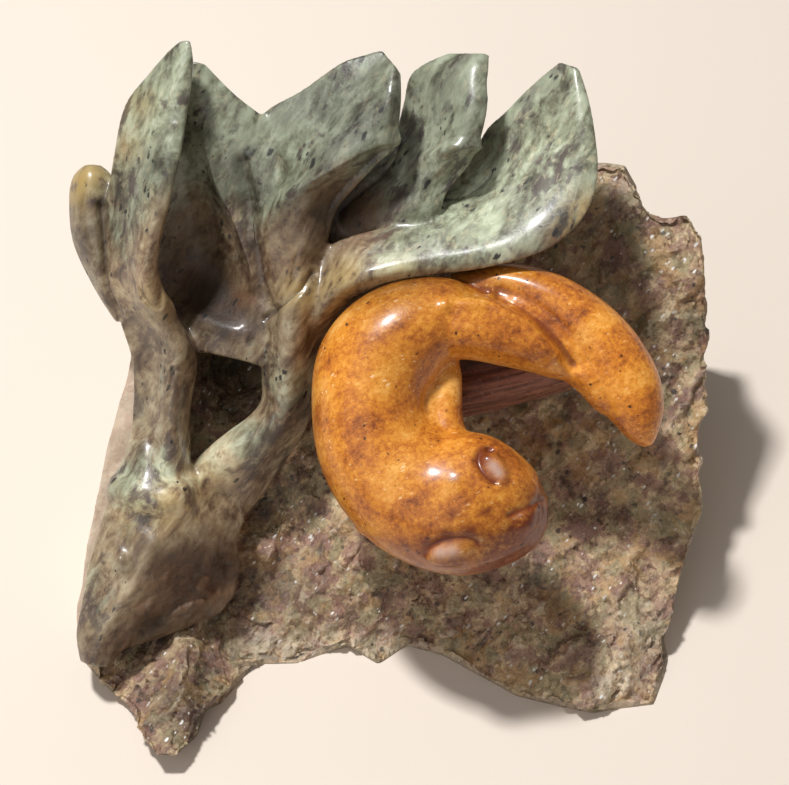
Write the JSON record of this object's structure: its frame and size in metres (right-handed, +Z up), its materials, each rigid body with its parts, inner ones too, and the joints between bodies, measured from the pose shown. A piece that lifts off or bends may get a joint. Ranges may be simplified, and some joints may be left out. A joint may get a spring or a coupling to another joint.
{
  "type": "carved stone bookend",
  "caption": "Carved soapstone bookend: a rough stone wedge with polished green kelp and a curled orange otter under one blade, with a flat back for books.",
  "frame": {"origin": "in the sawn underside, halfway from the foot of the rough slope to the sawn back", "axes": "+Z up; +Y out of the sawn back, towards the books; -Y the side that the rough slope and the carving face; +X to the right seen from there"},
  "size_m": [0.1606, 0.1291, 0.1264],
  "materials": {
    "kelp_stone": "polished green kelp with purple-grey veins, running into a rough brown rind",
    "otter_stone": "polished orange-brown soapstone with fine dark specks"
  },
  "bodies": {
    "root": {"kelp_and_rock": "kelp_stone", "otter": "otter_stone"}
  },
  "joints": []
}
